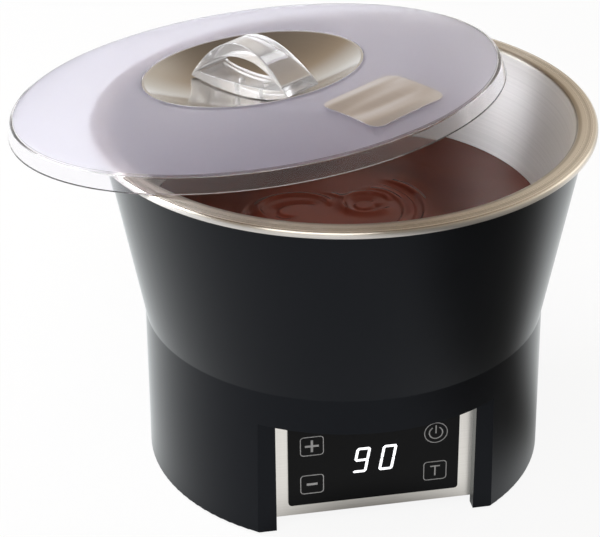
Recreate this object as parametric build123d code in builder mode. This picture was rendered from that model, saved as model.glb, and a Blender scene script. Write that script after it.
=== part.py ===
from build123d import *
from math import asin, cos, radians, sin, sqrt, tan
import os

# A table-top chocolate melter: a steel bowl hangs in a heated well inside a flared casing, and a loose lid
# lies askew on its rim. The origin is on the bowl's axis at the surface the melter stands on, +Z is up and
# the control panel faces -Y. Sizes are in millimetres, angles in degrees.

# Bowl, pressed from steel sheet and hung from its flange
rim_height = 240.0
rim_radius = 160.0
flange_width = 13.6
lip_drop = 3.4
lip_bend = 2.2
lip_tip_round = 0.4
mouth_bend = 3.0
bowl_sheet = 1.2
bowl_depth = 120.0
bowl_slope = 13.6
bowl_corner = 14.0

# Melted chocolate that stands in the bowl
chocolate_depth = 51.3
chocolate_film = 0.2
chocolate_edge_round = 0.6

# Casing, a moulded shell with a nearly upright base under a flared upper part
stand = 1.5
crease_margin = 13.83
crease_drop = 11.5
base_flare = 1.0
shoulder_inset = 6.4
casing_wall = 3.0
crease_round = 5.0
edge_round = 0.8

# Flat front of the casing, with the panel set back in its window
notch_drop = 23.9
window_width = 129.0
post_width = 12.3
panel_recess = 7.8
panel_sheet = 1.2
panel_bottom = 6.5
panel_overlap = 9.5
panel_top_gap = 0.4

# Touch overlay, display and control board behind the panel
overlay_side_gap = 8.9
overlay_low_gap = 7.8
overlay_top_gap = 9.5
overlay_thickness = 1.2
overlay_corner = 2.4
overlay_lap = 5.5
key_share_x = 0.723
key_share_z = 0.483
key_pad_radius = 4.0
key_margin = 3.4
display_share_x = 0.378
display_share_z = 0.447
display_shift = 1.5
board_sheet = 1.6
board_standoff = 8.0
board_stud_radius = 2.5
board_margin = 1.4

# Heated well, its heaters and insulation
seat_gap = 0.3
seal_thickness = 2.3
seal_inset = 1.2
well_sheet = 1.5
well_gap = 1.5
well_floor_gap = 1.0
well_seat = 2.2
film_gap = 0.2
heater_sheet = 1.5
side_heater_share = 0.367
side_heater_lift = 2.0
jacket_gap = 0.4
base_heater_inset = 6.0
base_insulation_thickness = 8.0

# Probe and thermal cut-out under the well
probe_radius = 5.0
probe_length = 12.0
plug_radius = 15.0
plug_length = 10.0
cutout_radius = 8.0
cutout_length = 11.0
cutout_offset = 52.0
cutout_tab = 6.3
cutout_tab_length = 8.0
tab_sheet = 0.8

# Base plate, feet and their fixings
plate_height = 12.0
plate_sheet = 2.0
plate_gap = 0.5
vent_length = 34.0
vent_width = 4.0
vent_pitch = 9.0
vent_rows = 7
foot_radius = 11.0
foot_tip_radius = 9.0
foot_inset = 30.6
foot_stem_radius = 3.8
foot_barb = 1.4
foot_barb_height = 2.5
boss_radius = 5.0
boss_bite = 1.5
boss_height = 32.0
boss_angles = (20, 160, 218, 322)

# Power board on the base plate and what stands on it
power_width = 96.0
power_depth = 72.0
power_lift = 7.0
power_inset = 5.0
power_shift = 6.0
transformer_size = (34.0, 30.0, 27.0)
relay_size = (19.0, 15.5, 15.5)
sink_size = (30.0, 12.0, 24.0)
sink_fins = 5
triac_size = (10.0, 4.5, 15.0)
capacitor_radius = 6.3
capacitor_height = 20.0
capacitor_pitch = 15.0
terminal_pitch = 8.0
terminal_ways = 5
terminal_depth = 12.0
terminal_height = 11.0
fuse_radius = 2.6
fuse_length = 20.0

# Appliance inlet in a flat pocket at the back
inlet_height = 48.0
inlet_inset = 2.2
pad_thickness = 3.0
pocket_width = 56.0
pocket_height = 30.0
pocket_corner = 3.0
inlet_flange_width = 50.0
inlet_flange_height = 24.0
inlet_flange_sheet = 3.0
inlet_body_width = 27.6
inlet_body_height = 20.0
inlet_body_depth = 22.0
socket_width = 24.0
socket_height = 16.2
socket_depth = 17.0
socket_chamfer = 5.0
inlet_screw_spacing = 40.0
blade_width = 4.0
blade_sheet = 2.0
blade_pitch = 7.0
earth_blade_rise = 2.0
tag_length = 9.0

# Lid: thin plastic cover with a flared skirt, a steel dish and a clear bow handle
lid_overhang = 3.0
lid_wall = 2.0
skirt_height = 9.9
skirt_flare = 2.8
shoulder_round = 2.0
crown_height = 20.5
crown_share = 0.54
dish_share = 0.4454
dish_rim_height = 19.5
dish_rim_bead = 0.8
dish_rim_width = 2.6
dish_depth = 17.5
dish_sheet = 0.8
dish_gap = 0.15
handle_length = 94.4
handle_width = 28.8
handle_waist = 20.6
handle_rise = 19.4
handle_tip_drop = 8.2
handle_bow = 9.5
handle_base = 8.2
handle_eye_inset = 5.8
handle_eye_drop = 4.6
handle_round = 0.8
handle_tip_round = 1.2
handle_seat_gap = 0.1
handle_screw_spacing = 24.0
label_width = 62.5
label_depth = 48.5
label_corner = 8.0
label_sheet = 0.3
label_gap = 0.12
label_outset = 2.2

# Where the lid lies: its gap over the rim, how far and which way it is pushed off the bowl's axis, and the
# way its handle points
lid_gap = 0.35
lid_shift_share = 0.427
lid_shift_angle = 133.5
handle_angle = -56.1

# Fasteners
hole_clearance = 0.2
screw_radius = 1.5
screw_head_radius = 3.0
screw_head_height = 2.0
nut_radius = 3.2
nut_height = 2.4
handle_screw_radius = 2.0
washer_radius = 5.0
washer_sheet = 1.0
wire_radius = 1.2
lead_radius = 0.9
ribbon_width = 16.0
ribbon_thickness = 1.0

# Heights and radii that follow from the sizes above
mouth_radius = rim_radius - flange_width
bowl_floor = rim_height - bowl_depth
flange_under = rim_height - bowl_sheet
seal_top = flange_under - seat_gap
well_flange_top = seal_top - seal_thickness
casing_top = well_flange_top - well_sheet
bowl_skew = bowl_sheet / cos(radians(bowl_slope))
well_skew = well_sheet / cos(radians(bowl_slope))
well_floor = bowl_floor - bowl_sheet - well_floor_gap
well_under = well_floor - well_sheet
well_corner = bowl_corner + bowl_sheet
floor_radius = mouth_radius - bowl_depth * tan(radians(bowl_slope))
crease_radius = floor_radius + crease_margin
crease_height = bowl_floor - crease_drop
base_radius = crease_radius + base_flare
shoulder_radius = rim_radius - shoulder_inset
notch_height = crease_height - notch_drop
facet_distance = sqrt(base_radius**2 - (window_width / 2 + post_width) ** 2)
plate_top = plate_height + plate_sheet
panel_face = facet_distance - panel_recess
panel_back = panel_face - panel_sheet
panel_width = window_width + 2 * panel_overlap
panel_height = notch_height - panel_top_gap - panel_bottom
overlay_width = window_width - 2 * overlay_side_gap
overlay_height = panel_height - overlay_low_gap - overlay_top_gap
overlay_middle = panel_bottom + overlay_low_gap + overlay_height / 2
key_spacing_x = overlay_width * key_share_x
key_spacing_z = overlay_height * key_share_z
board_face = panel_back - board_standoff
board_back = board_face - board_sheet
inlet_floor = crease_radius - inlet_inset
lid_radius = rim_radius + lid_overhang
lid_shift = lid_radius * lid_shift_share


def casing_outer(z):
    """Outer radius of the casing at height z."""
    if z <= crease_height:
        return base_radius + (crease_radius - base_radius) * (z - stand) / (crease_height - stand)
    rise = (z - crease_height) / (casing_top - crease_height)
    return crease_radius + (shoulder_radius - crease_radius) * rise


def casing_inner(z):
    """Inner radius of the casing at height z."""
    return casing_outer(z) - casing_wall


def bowl_inner(z):
    """Inner radius of the bowl's sloping wall at height z."""
    return mouth_radius - (rim_height - z) * tan(radians(bowl_slope))


def well_inner(z):
    """Inner radius of the well's wall, which follows the bowl's outside."""
    return bowl_inner(z) + bowl_skew + well_gap


def well_outer(z):
    """Outer radius of the well's wall."""
    return well_inner(z) + well_skew


def outline(points, rounds, plane=Plane.XZ):
    """A closed outline through the points, each corner with its own rounding."""
    with BuildSketch(plane) as shape:
        with BuildLine():
            FilletPolyline(*points, radius=rounds, close=True)
        make_face()
    return shape.sketch


def ring_points(angles, radius):
    """Points on a circle about the bowl's axis."""
    return [(radius * cos(radians(a)), radius * sin(radians(a))) for a in angles]


def grid_points(width, depth, middle=(0.0, 0.0)):
    """The four corners of a rectangle."""
    return [
        (middle[0] + sx * width / 2, middle[1] + sy * depth / 2)
        for sx in (-1, 1)
        for sy in (-1, 1)
    ]


def front_plane(distance):
    """Upright plane that faces -Y at a distance in front of the axis: local x is X, local y is Z."""
    return Plane(origin=(0, -distance, 0), x_dir=(1, 0, 0), z_dir=(0, -1, 0))


def back_plane(distance):
    """Upright plane behind the axis that faces the axis: local x is X, local y is Z."""
    return Plane(origin=(0, distance, 0), x_dir=(1, 0, 0), z_dir=(0, -1, 0))


def save(piece, name):
    """Labels a finished piece and writes its file."""
    piece.part.label = name
    export_step(piece.part, f"parts/{name}.step")


os.makedirs("parts", exist_ok=True)

# Casing: turned shell, cut flat at the front, with a ceiling over the notch, posts beside the window,
# bosses for the base plate's screws and a flat pocket at the back for the inlet
boss_places = ring_points(boss_angles, casing_inner(plate_top) + boss_bite - boss_radius)
pad_width = pocket_width + 2 * casing_wall
pad_height = pocket_height + 2 * casing_wall
with BuildPart() as casing:
    revolve(
        outline(
            [
                (casing_outer(stand), stand),
                (crease_radius, crease_height),
                (shoulder_radius, casing_top),
                (shoulder_radius - casing_wall, casing_top),
                (crease_radius - casing_wall, crease_height),
                (casing_inner(stand), stand),
            ],
            [edge_round, crease_round, edge_round, 0, crease_round, 0],
        ),
        axis=Axis.Z,
    )
    with BuildSketch(Plane.XY):
        with Locations((0, -facet_distance)):
            Rectangle(2 * base_radius, base_radius, align=(Align.CENTER, Align.MAX))
    extrude(amount=notch_height, mode=Mode.SUBTRACT)
    with BuildSketch(Plane.XY.offset(notch_height)):
        with Locations((0, -panel_back)):
            Rectangle(2 * base_radius, base_radius, align=(Align.CENTER, Align.MAX))
        Circle(casing_outer(notch_height) - casing_wall / 2, mode=Mode.INTERSECT)
    extrude(amount=casing_wall)
    with BuildSketch(Plane.XY.offset(stand)):
        with Locations((0, -facet_distance)):
            Rectangle(2 * base_radius, panel_recess, align=(Align.CENTER, Align.MIN))
        Circle(crease_radius - casing_wall / 2, mode=Mode.INTERSECT)
        with Locations((0, -panel_face)):
            Rectangle(window_width, 3 * panel_recess, mode=Mode.SUBTRACT)
    extrude(amount=notch_height - stand + casing_wall / 2)
    with BuildSketch(Plane.XY.offset(plate_top)):
        with Locations(*boss_places):
            Circle(boss_radius)
    extrude(amount=boss_height)
    with BuildSketch(Plane.XY.offset(plate_top)):
        with Locations(*boss_places):
            Circle(screw_radius + hole_clearance)
    extrude(amount=boss_height / 2, mode=Mode.SUBTRACT)
    with BuildSketch(Plane.XY.offset(inlet_height - pad_height / 2)):
        with Locations((0, inlet_floor - pad_thickness)):
            Rectangle(pad_width, base_radius, align=(Align.CENTER, Align.MIN))
        Circle(crease_radius - casing_wall / 2, mode=Mode.INTERSECT)
    extrude(amount=pad_height)
    with BuildSketch(back_plane(inlet_floor)):
        with Locations((0, inlet_height)):
            RectangleRounded(pocket_width, pocket_height, pocket_corner)
    extrude(amount=-base_radius, mode=Mode.SUBTRACT)
    with BuildSketch(back_plane(inlet_floor)):
        with Locations((0, inlet_height)):
            Rectangle(inlet_body_width + 2 * hole_clearance, inlet_body_height + 2 * hole_clearance)
        with Locations((-inlet_screw_spacing / 2, inlet_height), (inlet_screw_spacing / 2, inlet_height)):
            Circle(screw_radius + hole_clearance)
    extrude(amount=2 * pad_thickness, mode=Mode.SUBTRACT)
    panel_screw_x = window_width / 2 + panel_overlap / 2
    panel_screw_drop = (notch_height - panel_bottom) / 4
    panel_screw_z = (panel_bottom + panel_screw_drop, notch_height - panel_screw_drop)
    panel_screw_places = [(sx * panel_screw_x, z) for sx in (-1, 1) for z in panel_screw_z]
    with BuildSketch(front_plane(panel_face)):
        with Locations(*panel_screw_places):
            Circle(screw_radius + hole_clearance)
    extrude(amount=panel_recess - casing_wall / 2, mode=Mode.SUBTRACT)
save(casing, "casing")

# Bowl: one sheet with a rounded floor corner, a flat flange and a lip rolled down at its edge
with BuildPart() as bowl:
    revolve(
        outline(
            [
                (0, bowl_floor),
                (bowl_inner(bowl_floor), bowl_floor),
                (mouth_radius, rim_height),
                (rim_radius, rim_height),
                (rim_radius, rim_height - lip_drop),
                (rim_radius - bowl_sheet, rim_height - lip_drop),
                (rim_radius - bowl_sheet, flange_under),
                (bowl_inner(flange_under) + bowl_skew, flange_under),
                (bowl_inner(bowl_floor - bowl_sheet) + bowl_skew, bowl_floor - bowl_sheet),
                (0, bowl_floor - bowl_sheet),
            ],
            [
                0,
                bowl_corner,
                mouth_bend,
                lip_bend,
                lip_tip_round,
                lip_tip_round,
                lip_bend - bowl_sheet,
                mouth_bend - bowl_sheet,
                bowl_corner + bowl_sheet,
                0,
            ],
        ),
        axis=Axis.Z,
    )
save(bowl, "bowl")

# Chocolate: a level melted filling that lies on the bowl's floor, clear of the wall by a film
chocolate_level = bowl_floor + chocolate_depth
with BuildPart() as chocolate_fill:
    revolve(
        outline(
            [
                (0, bowl_floor),
                (floor_radius - chocolate_film, bowl_floor),
                (bowl_inner(chocolate_level) - chocolate_film, chocolate_level),
                (0, chocolate_level),
            ],
            [0, bowl_corner, chocolate_edge_round, 0],
        ),
        axis=Axis.Z,
    )
save(chocolate_fill, "chocolate_fill")

# Heat well: spun aluminium liner that hangs on the casing's top edge
well_flange_radius = casing_inner(casing_top) + well_seat
with BuildPart() as heat_well:
    revolve(
        outline(
            [
                (0, well_floor),
                (well_inner(well_floor), well_floor),
                (well_inner(well_flange_top), well_flange_top),
                (well_flange_radius, well_flange_top),
                (well_flange_radius, casing_top),
                (well_outer(casing_top), casing_top),
                (well_outer(well_under), well_under),
                (0, well_under),
            ],
            [0, well_corner, 0, 0, 0, 0, well_corner + well_sheet, 0],
        ),
        axis=Axis.Z,
    )
save(heat_well, "heat_well")

# Seal ring: flat silicone ring between the well's flange and the bowl's flange
with BuildPart() as seal_ring:
    with BuildSketch(Plane.XY.offset(well_flange_top)):
        Circle(well_flange_radius)
        Circle(well_inner(well_flange_top) + seal_inset, mode=Mode.SUBTRACT)
    extrude(amount=seal_thickness)
save(seal_ring, "seal_ring")

# Side heater and the insulation jacket round it, both cones that follow the well's wall
heater_low = well_floor + well_corner + side_heater_lift
heater_high = heater_low + bowl_depth * side_heater_share
jacket_start = 2 * film_gap + heater_sheet
jacket_thickness = casing_inner(heater_high) - jacket_gap - well_outer(heater_high) - jacket_start


def sleeve(first_gap, thickness):
    """Cone-shaped sleeve round the well, a gap outside its wall."""
    inner_low = well_outer(heater_low) + first_gap
    inner_high = well_outer(heater_high) + first_gap
    return outline(
        [
            (inner_low, heater_low),
            (inner_low + thickness, heater_low),
            (inner_high + thickness, heater_high),
            (inner_high, heater_high),
        ],
        0,
    )


with BuildPart() as side_heater:
    revolve(sleeve(film_gap, heater_sheet), axis=Axis.Z)
save(side_heater, "side_heater")

with BuildPart() as insulation_jacket:
    revolve(sleeve(jacket_start, jacket_thickness), axis=Axis.Z)
save(insulation_jacket, "insulation_jacket")

# Base heater and base insulation: discs under the well, with holes for the probe, the cut-out and the leads
base_heater_top = well_under - film_gap
base_heater_radius = well_inner(well_floor) - well_corner - base_heater_inset
insulation_top = base_heater_top - heater_sheet - film_gap
insulation_bottom = insulation_top - base_insulation_thickness
heater_lead_place = (0.0, base_heater_radius * 0.6)
heater_lead_spacing = 6.0
lead_hole_radius = heater_lead_spacing
with BuildPart() as base_heater:
    with BuildSketch(Plane.XY.offset(base_heater_top)):
        Circle(base_heater_radius)
        Circle(plug_radius + hole_clearance, mode=Mode.SUBTRACT)
        with Locations((cutout_offset, 0)):
            Circle(cutout_radius + hole_clearance, mode=Mode.SUBTRACT)
    extrude(amount=-heater_sheet)
save(base_heater, "base_heater")

with BuildPart() as base_insulation:
    with BuildSketch(Plane.XY.offset(insulation_top)):
        Circle(base_heater_radius)
        Circle(plug_radius + hole_clearance, mode=Mode.SUBTRACT)
        with Locations((cutout_offset, 0)):
            Circle(cutout_radius + hole_clearance, mode=Mode.SUBTRACT)
        with Locations(heater_lead_place):
            Circle(lead_hole_radius, mode=Mode.SUBTRACT)
    extrude(amount=-base_insulation_thickness)
save(base_insulation, "base_insulation")

# Temperature probe: a metal capsule held against the well's floor by a silicone plug
probe_bottom = base_heater_top - probe_length
with BuildPart() as probe_plug:
    with BuildSketch(Plane.XY.offset(base_heater_top)):
        Circle(plug_radius)
        Circle(probe_radius + hole_clearance, mode=Mode.SUBTRACT)
    extrude(amount=-plug_length)
save(probe_plug, "probe_plug")

with BuildPart() as temperature_probe:
    with BuildSketch(Plane.XY.offset(base_heater_top)):
        Circle(probe_radius)
    extrude(amount=-probe_length)
    fillet(temperature_probe.edges().group_by(Axis.Z)[0], radius=probe_radius / 3)
save(temperature_probe, "temperature_probe")

# Thermal cut-out: a bimetal switch against the well's floor, with two tabs below
cutout_bottom = base_heater_top - cutout_length
with BuildPart() as thermal_cutout:
    with BuildSketch(Plane.XY.offset(base_heater_top)):
        with Locations((cutout_offset, 0)):
            Circle(cutout_radius)
    extrude(amount=-cutout_length)
    with BuildSketch(Plane.XY.offset(cutout_bottom)):
        with Locations((cutout_offset, -cutout_radius / 2), (cutout_offset, cutout_radius / 2)):
            Rectangle(cutout_tab, tab_sheet)
    extrude(amount=-cutout_tab_length)
save(thermal_cutout, "thermal_cutout")

# Panel plate: steel frame behind the posts, with a window behind the overlay
stud_places = grid_points(
    overlay_width - overlay_lap, overlay_height - overlay_lap, (0, overlay_middle)
)
with BuildPart() as panel_plate:
    with BuildSketch(front_plane(panel_back)):
        with Locations((0, panel_bottom + panel_height / 2)):
            Rectangle(panel_width, panel_height)
        with Locations((0, overlay_middle)):
            Rectangle(
                key_spacing_x + 2 * (key_pad_radius + key_margin),
                key_spacing_z + 2 * (key_pad_radius + key_margin),
                mode=Mode.SUBTRACT,
            )
        with Locations(*panel_screw_places):
            Circle(screw_radius + hole_clearance, mode=Mode.SUBTRACT)
    extrude(amount=panel_sheet)
    with BuildSketch(front_plane(panel_back)):
        with Locations(*stud_places):
            Circle(board_stud_radius)
    extrude(amount=-board_standoff)
    with BuildSketch(front_plane(board_face)):
        with Locations(*stud_places):
            Circle(screw_radius + hole_clearance)
    extrude(amount=board_standoff * 0.8, mode=Mode.SUBTRACT)
save(panel_plate, "panel_plate")

# Touch overlay: gloss front stuck on the panel
with BuildPart() as touch_overlay:
    with BuildSketch(front_plane(panel_face)):
        with Locations((0, overlay_middle)):
            RectangleRounded(overlay_width, overlay_height, overlay_corner)
    extrude(amount=overlay_thickness)
    fillet(touch_overlay.faces().sort_by(Axis.Y)[0].edges(), radius=overlay_thickness / 4)
save(touch_overlay, "touch_overlay")

# Control board, held on the panel's studs
with BuildPart() as control_board:
    with BuildSketch(front_plane(board_back)):
        with Locations((0, overlay_middle)):
            Rectangle(overlay_width + board_margin, overlay_height - board_margin)
        with Locations(*stud_places):
            Circle(screw_radius + hole_clearance, mode=Mode.SUBTRACT)
    extrude(amount=board_sheet)
save(control_board, "control_board")

# Display module: the block with the two digits, between the board and the overlay
with BuildPart() as display_module:
    with BuildSketch(front_plane(board_face)):
        with Locations((display_shift, overlay_middle)):
            Rectangle(overlay_width * display_share_x, overlay_height * display_share_z)
    extrude(amount=panel_face - board_face - film_gap)
save(display_module, "display_module")

# Key pads: conductive foam pillars from the board to the overlay, one behind each key
key_places = grid_points(key_spacing_x, key_spacing_z, (0, overlay_middle))
with BuildPart() as key_pads:
    with BuildSketch(front_plane(board_face)):
        with Locations(*key_places):
            Circle(key_pad_radius)
    extrude(amount=panel_face - board_face - film_gap)
save(key_pads, "key_pads")


def screws(places, head_plane, length, radius=screw_radius, head_radius=screw_head_radius):
    """Pan-head screws: heads stand on the plane's outside, shanks run against its normal."""
    with BuildPart() as group:
        with BuildSketch(head_plane):
            with Locations(*places):
                Circle(head_radius)
        extrude(amount=screw_head_height)
        with BuildSketch(head_plane):
            with Locations(*places):
                Circle(radius)
        extrude(amount=-length)
    return group


# Screws that hold the control board on its studs and the panel on the casing's posts
control_board_screws = screws(
    stud_places,
    Plane(origin=(0, -board_back, 0), x_dir=(-1, 0, 0), z_dir=(0, 1, 0)),
    board_sheet + board_standoff / 2,
)
save(control_board_screws, "control_board_screws")

panel_screws = screws(
    panel_screw_places,
    Plane(origin=(0, -panel_back, 0), x_dir=(-1, 0, 0), z_dir=(0, 1, 0)),
    panel_sheet + panel_recess - casing_wall,
)
save(panel_screws, "panel_screws")

# Base plate: steel disc with a straight front edge, vents, holes for feet and screws
plate_radius = casing_inner(plate_height) - plate_gap
foot_places = ring_points((45, 135, 225, 315), plate_radius - foot_inset)
power_middle = (0.0, power_shift)
standoff_places = grid_points(power_width - 2 * power_inset, power_depth - 2 * power_inset, power_middle)
earth_place = (0.0, power_shift + power_depth / 2 + 3 * nut_radius)
vent_start = power_middle[1] - power_depth / 2 - vent_length
with BuildPart() as base_plate:
    with BuildSketch(Plane.XY.offset(plate_height)):
        Circle(plate_radius)
        with Locations((0, -(panel_back - plate_gap))):
            Rectangle(2 * plate_radius, plate_radius, align=(Align.CENTER, Align.MAX), mode=Mode.SUBTRACT)
        with Locations(*boss_places):
            Circle(screw_radius + hole_clearance, mode=Mode.SUBTRACT)
        with Locations(*foot_places):
            Circle(foot_stem_radius + hole_clearance, mode=Mode.SUBTRACT)
        with Locations(*standoff_places):
            Circle(screw_radius + hole_clearance, mode=Mode.SUBTRACT)
        with Locations(earth_place):
            Circle(screw_radius + hole_clearance, mode=Mode.SUBTRACT)
        with Locations((0, vent_start + vent_length / 3)):
            with GridLocations(vent_pitch, 1, vent_rows, 1):
                SlotOverall(vent_length, vent_width, rotation=90, mode=Mode.SUBTRACT)
    extrude(amount=plate_sheet)
save(base_plate, "base_plate")

base_screws = screws(
    [(x, -y) for x, y in boss_places],
    Plane(origin=(0, 0, plate_height), x_dir=(1, 0, 0), z_dir=(0, 0, -1)),
    plate_sheet + boss_height / 3,
)
save(base_screws, "base_screws")

# Rubber feet: tapered pads with a stem and barb pushed through the base plate
with BuildPart() as rubber_feet:
    for place in foot_places:
        with BuildSketch(Plane(origin=(place[0], place[1], 0))):
            Circle(foot_tip_radius)
        with BuildSketch(Plane(origin=(place[0], place[1], plate_height))):
            Circle(foot_radius)
        loft()
    with BuildSketch(Plane.XY.offset(plate_height)):
        with Locations(*foot_places):
            Circle(foot_stem_radius)
    extrude(amount=plate_sheet + film_gap)
    with BuildSketch(Plane.XY.offset(plate_top + film_gap)):
        with Locations(*foot_places):
            Circle(foot_stem_radius + foot_barb)
    extrude(amount=foot_barb_height, taper=15)
save(rubber_feet, "rubber_feet")

# Power board on four brass standoffs
power_under = plate_top + power_lift
power_top = power_under + board_sheet
with BuildPart() as power_standoffs:
    with BuildSketch(Plane.XY.offset(plate_top)):
        with Locations(*standoff_places):
            RegularPolygon(screw_head_radius, 6)
            Circle(screw_radius + hole_clearance, mode=Mode.SUBTRACT)
    extrude(amount=power_lift)
save(power_standoffs, "power_standoffs")

with BuildPart() as power_board:
    with BuildSketch(Plane.XY.offset(power_under)):
        with Locations(power_middle):
            Rectangle(power_width, power_depth)
        with Locations(*standoff_places):
            Circle(screw_radius + hole_clearance, mode=Mode.SUBTRACT)
    extrude(amount=board_sheet)
save(power_board, "power_board")

power_board_screws = screws(standoff_places, Plane.XY.offset(power_top), board_sheet + power_lift / 2)
save(power_board_screws, "power_board_screws")

# Parts that stand on the power board, placed from its edges
left_x = power_middle[0] - power_width / 2 + 3 * power_inset
right_x = power_middle[0] + power_width / 2 - 3 * power_inset
front_y = power_middle[1] - power_depth / 2 + power_inset
back_y = power_middle[1] + power_depth / 2 - power_inset / 2


def block(middle, size):
    """A box that stands on the power board."""
    with BuildPart() as body:
        with BuildSketch(Plane.XY.offset(power_top)):
            with Locations(middle):
                Rectangle(size[0], size[1])
        extrude(amount=size[2])
    return body


with BuildPart() as transformer:
    with BuildSketch(Plane.XY.offset(power_top)):
        with Locations((left_x + transformer_size[0] / 2 - 2 * power_inset, power_middle[1])):
            Rectangle(transformer_size[0], transformer_size[1])
    extrude(amount=transformer_size[2])
    fillet(transformer.edges().filter_by(Axis.Z), radius=casing_wall / 2)
save(transformer, "transformer")

relay = block((right_x, front_y + relay_size[1]), relay_size)
save(relay, "relay")

sink_middle = (right_x - sink_size[0] / 6, power_middle[1] + sink_size[1])
fin_pitch = sink_size[0] / sink_fins
with BuildPart() as heat_sink:
    with BuildSketch(Plane.XY.offset(power_top)):
        with Locations((sink_middle[0], sink_middle[1] - sink_size[1] / 2)):
            Rectangle(sink_size[0], sink_size[1] / 4, align=(Align.CENTER, Align.MIN))
        with Locations(sink_middle):
            with GridLocations(fin_pitch, 1, sink_fins, 1):
                Rectangle(fin_pitch / 3, sink_size[1])
    extrude(amount=sink_size[2])
save(heat_sink, "heat_sink")

triac_middle = (sink_middle[0], sink_middle[1] - sink_size[1] / 2 - triac_size[1] / 2 - film_gap)
triac = block(triac_middle, triac_size)
save(triac, "triac")

with BuildPart() as capacitors:
    with BuildSketch(Plane.XY.offset(power_top)):
        with Locations((power_middle[0], front_y + 1.3 * capacitor_radius)):
            with GridLocations(capacitor_pitch, 1, 2, 1):
                Circle(capacitor_radius)
    extrude(amount=capacitor_height)
    fillet(capacitors.edges().group_by(Axis.Z)[-1], radius=board_sheet / 2)
save(capacitors, "capacitors")

terminal_width = terminal_pitch * terminal_ways
terminal_middle = (power_middle[0], back_y - terminal_depth / 2)
with BuildPart() as terminal_block:
    with BuildSketch(Plane.XY.offset(power_top)):
        with Locations(terminal_middle):
            Rectangle(terminal_width, terminal_depth)
    extrude(amount=terminal_height)
    with BuildSketch(Plane.XY.offset(power_top + terminal_height)):
        with Locations(terminal_middle):
            with GridLocations(terminal_pitch, 1, terminal_ways, 1):
                Circle(terminal_pitch / 4)
    extrude(amount=-terminal_height / 3, mode=Mode.SUBTRACT)
save(terminal_block, "terminal_block")

with BuildPart() as fuse_holder:
    fuse_middle = (left_x + 0.3 * fuse_length, front_y + 2 * fuse_radius)
    with BuildSketch(Plane.XY.offset(power_top)):
        with Locations(fuse_middle):
            Rectangle(fuse_length, 3 * fuse_radius)
    extrude(amount=1.2 * fuse_radius)
    fuse_axis = Plane(
        origin=(fuse_middle[0] - fuse_length / 2, fuse_middle[1], power_top + 2 * fuse_radius),
        x_dir=(0, 1, 0),
        z_dir=(1, 0, 0),
    )
    with BuildSketch(fuse_axis):
        Circle(fuse_radius)
    extrude(amount=fuse_length)
save(fuse_holder, "fuse_holder")

# Appliance inlet: a flange in the casing's pocket, a body through the wall and a keyed socket
inlet_back = inlet_floor + inlet_flange_sheet
socket_floor = inlet_back - socket_depth
with BuildPart() as power_inlet:
    with BuildSketch(back_plane(inlet_floor)):
        with Locations((0, inlet_height)):
            RectangleRounded(inlet_flange_width, inlet_flange_height, pocket_corner)
        with Locations((-inlet_screw_spacing / 2, inlet_height), (inlet_screw_spacing / 2, inlet_height)):
            Circle(screw_radius + hole_clearance, mode=Mode.SUBTRACT)
    extrude(amount=-inlet_flange_sheet)
    with BuildSketch(back_plane(inlet_floor)):
        with Locations((0, inlet_height)):
            Rectangle(inlet_body_width, inlet_body_height)
    extrude(amount=inlet_body_depth)
    socket_left = -socket_width / 2
    socket_low = inlet_height - socket_height / 2
    socket_high = inlet_height + socket_height / 2
    with BuildSketch(back_plane(socket_floor)):
        with BuildLine():
            Polyline(
                (socket_left, socket_low),
                (-socket_left, socket_low),
                (-socket_left, socket_high - socket_chamfer),
                (-socket_left - socket_chamfer, socket_high),
                (socket_left + socket_chamfer, socket_high),
                (socket_left, socket_high - socket_chamfer),
                close=True,
            )
        make_face()
    extrude(amount=-socket_depth, mode=Mode.SUBTRACT)
    blade_places = [
        (-blade_pitch, inlet_height),
        (0, inlet_height + earth_blade_rise),
        (blade_pitch, inlet_height),
    ]
    with BuildSketch(back_plane(socket_floor)):
        with Locations(*blade_places):
            Rectangle(blade_sheet + 2 * film_gap, blade_width + 2 * film_gap)
    extrude(amount=inlet_body_depth, mode=Mode.SUBTRACT)
save(power_inlet, "power_inlet")

# Contact blades: flat pins in the socket that run through to solder tags inside
inlet_inner = inlet_floor - inlet_body_depth
with BuildPart() as inlet_blades:
    with BuildSketch(back_plane(inlet_inner - tag_length)):
        with Locations(*blade_places):
            Rectangle(blade_sheet, blade_width)
    extrude(amount=-(socket_floor + 0.8 * socket_depth - inlet_inner + tag_length))
save(inlet_blades, "inlet_blades")

# Inlet screws with nuts on the inside of the pad
inlet_screw_places = [(sx * inlet_screw_spacing / 2, inlet_height) for sx in (-1, 1)]
inlet_screws = screws(
    inlet_screw_places,
    Plane(origin=(0, inlet_back, 0), x_dir=(-1, 0, 0), z_dir=(0, 1, 0)),
    inlet_flange_sheet + pad_thickness + nut_height,
)
save(inlet_screws, "inlet_screws")

with BuildPart() as inlet_nuts:
    with BuildSketch(back_plane(inlet_floor - pad_thickness)):
        with Locations(*inlet_screw_places):
            RegularPolygon(nut_radius, 6)
            Circle(screw_radius + hole_clearance / 2, mode=Mode.SUBTRACT)
    extrude(amount=nut_height)
save(inlet_nuts, "inlet_nuts")

# Earth stud on the base plate, with its nut
earth_nut_top = plate_top + nut_height
with BuildPart() as earth_stud:
    with BuildSketch(Plane.XY.offset(plate_height - screw_head_height)):
        with Locations(earth_place):
            Circle(screw_head_radius)
    extrude(amount=screw_head_height)
    with BuildSketch(Plane.XY.offset(plate_height)):
        with Locations(earth_place):
            Circle(screw_radius)
    extrude(amount=plate_sheet + 3 * nut_height)
save(earth_stud, "earth_stud")

with BuildPart() as earth_nut:
    with BuildSketch(Plane.XY.offset(plate_top)):
        with Locations(earth_place):
            RegularPolygon(nut_radius, 6)
            Circle(screw_radius + hole_clearance / 2, mode=Mode.SUBTRACT)
    extrude(amount=nut_height)
save(earth_nut, "earth_nut")


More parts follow.
